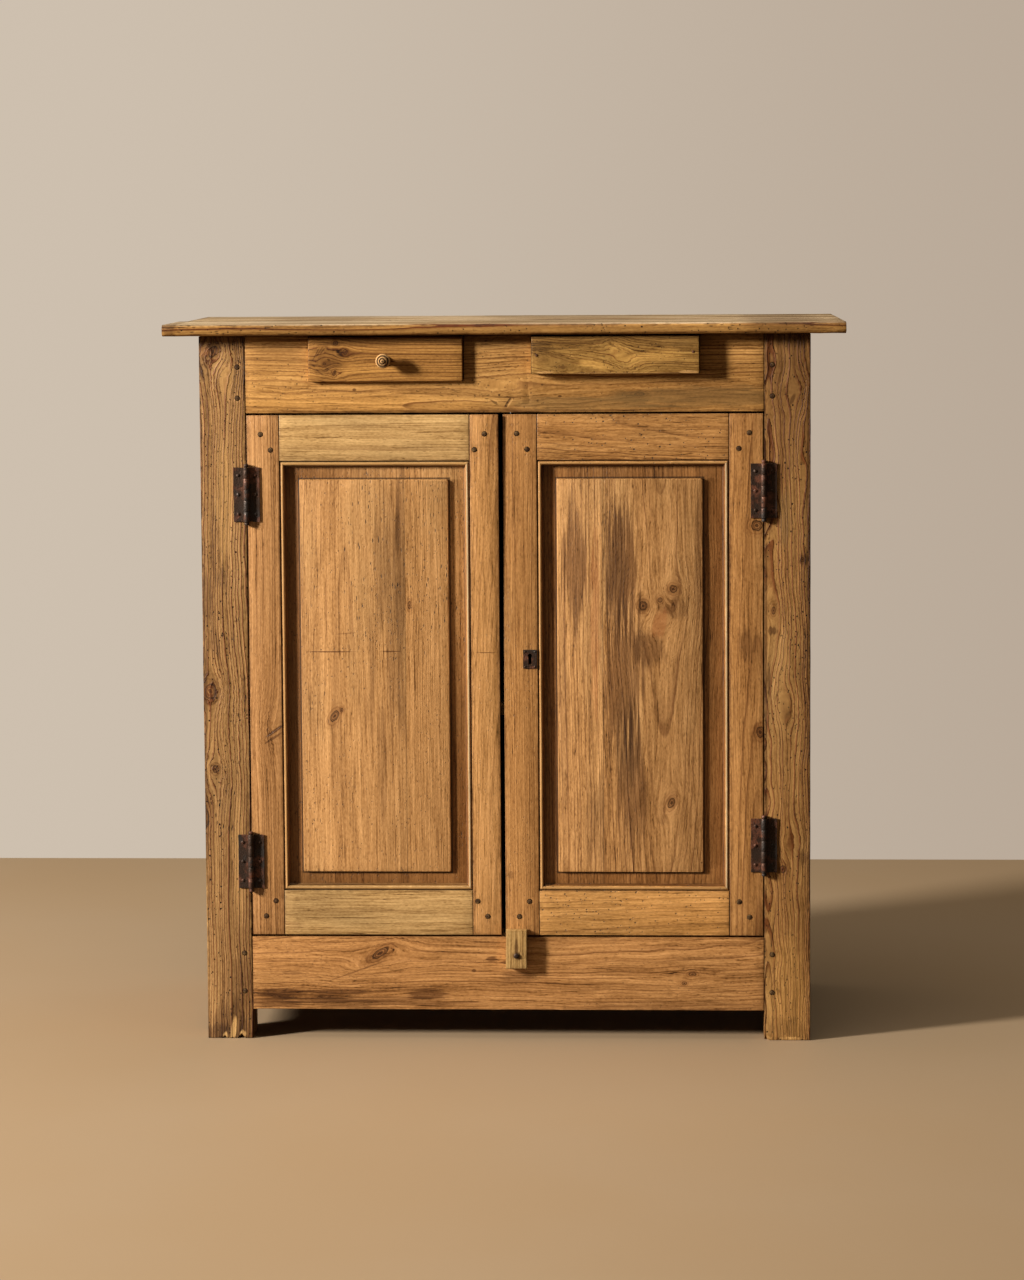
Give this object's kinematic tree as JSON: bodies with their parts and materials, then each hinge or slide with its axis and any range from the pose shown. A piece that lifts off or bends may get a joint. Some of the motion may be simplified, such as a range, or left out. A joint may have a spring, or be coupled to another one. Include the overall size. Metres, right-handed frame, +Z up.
{
  "type": "jelly cupboard",
  "caption": "Free-standing old pine cupboard with raised-panel doors on surface iron hinges, small frieze drawers, a wooden turn button and an inner shelf.",
  "frame": {"origin": "on the floor, under the middle of the bounding box", "axes": "+Z up, the front faces -Y, +X to the right of someone who looks at the front"},
  "size_m": [1.115, 0.459, 1.1923],
  "materials": {
    "post_pine": "old waxed pine with ridged weathered grain, wormholes and scuffed feet",
    "frame_pine": "old waxed pine, honey to orange brown, satin",
    "door_rail_pine": "old waxed pine, paler and yellower, satin",
    "panel_pine": "old waxed pine with streaks, knots and dark stains, satin",
    "top_pine": "worn, dull, dry waxed pine",
    "inside_pine": "bare old pine, matt",
    "drawer_front_pine": "old waxed pine, satin",
    "knob_wood": "turned hardwood, worn, satin",
    "button_wood": "pale bare pine with a dark drip stain, matt",
    "aged_iron": "dark rusted wrought iron, dull"
  },
  "bodies": {
    "carcass": {"post_front_left": "post_pine", "post_front_right": "post_pine", "post_back_left": "post_pine", "post_back_right": "post_pine", "frieze_rail": "frame_pine", "bottom_rail": "frame_pine", "side_rail_top_left": "frame_pine", "side_rail_top_right": "frame_pine", "side_rail_bottom_left": "frame_pine", "side_rail_bottom_right": "frame_pine", "side_panel_left": "panel_pine", "side_panel_right": "panel_pine", "back_rail_top": "inside_pine", "back_rail_bottom": "inside_pine", "back_board_left": "inside_pine", "back_board_right": "inside_pine", "bottom_board": "inside_pine", "shelf": "inside_pine", "top_board_front": "top_pine", "top_board_back": "top_pine", "drawer_bed_left": "inside_pine", "drawer_bed_right": "inside_pine", "hinge_post_leaf_left_upper": "aged_iron", "hinge_post_leaf_left_lower": "aged_iron", "hinge_post_leaf_right_upper": "aged_iron", "hinge_post_leaf_right_lower": "aged_iron", "hinge_pin_left_upper": "aged_iron", "hinge_pin_left_lower": "aged_iron", "hinge_pin_right_upper": "aged_iron", "hinge_pin_right_lower": "aged_iron", "turn_button_nail": "aged_iron"},
    "door_left": {"hinge_stile_left_door": "frame_pine", "meeting_stile_left_door": "frame_pine", "rail_top_left_door": "door_rail_pine", "rail_bottom_left_door": "door_rail_pine", "panel_left_door": "panel_pine", "hinge_door_leaf_left_upper": "aged_iron", "hinge_door_leaf_left_lower": "aged_iron"},
    "door_right": {"lock_stile_right_door": "frame_pine", "hinge_stile_right_door": "frame_pine", "rail_top_right_door": "door_rail_pine", "rail_bottom_right_door": "door_rail_pine", "panel_right_door": "panel_pine", "hinge_door_leaf_right_upper": "aged_iron", "hinge_door_leaf_right_lower": "aged_iron", "escutcheon": "aged_iron", "lock_case": "aged_iron"},
    "lock_bolt": {"lock_bolt": "aged_iron"},
    "turn_button": {"turn_button": "button_wood"},
    "drawer_left": {"drawer_front_left": "drawer_front_pine", "drawer_side_left_a": "inside_pine", "drawer_side_left_b": "inside_pine", "drawer_back_left": "inside_pine", "drawer_bottom_left": "inside_pine", "drawer_knob_left": "knob_wood"},
    "drawer_right": {"drawer_front_right": "drawer_front_pine", "drawer_side_right_a": "inside_pine", "drawer_side_right_b": "inside_pine", "drawer_back_right": "inside_pine", "drawer_bottom_right": "inside_pine"}
  },
  "joints": [
    {"name": "door_left_hinge", "type": "hinge", "parent": "carcass", "child": "door_left", "pos_m": [-0.42485, -0.1938, 0.6], "axis": [0, 0, -1], "range_deg": [0, 170]},
    {"name": "door_right_hinge", "type": "hinge", "parent": "carcass", "child": "door_right", "pos_m": [0.42485, -0.1938, 0.6], "axis": [0, 0, 1], "range_deg": [0, 170]},
    {"name": "lock_bolt_slide", "type": "slide", "parent": "door_right", "child": "lock_bolt", "axis": [-1, 0, 0], "range_m": [0, 0.016]},
    {"name": "turn_button_pivot", "type": "hinge", "parent": "carcass", "child": "turn_button", "pos_m": [0.0153, -0.1968, 0.1446], "axis": [0, 1, 0], "continuous": true},
    {"name": "drawer_left_slide", "type": "slide", "parent": "carcass", "child": "drawer_left", "axis": [0, -1, 0], "range_m": [0, 0.26]},
    {"name": "drawer_right_slide", "type": "slide", "parent": "carcass", "child": "drawer_right", "axis": [0, -1, 0], "range_m": [0, 0.26]}
  ]
}
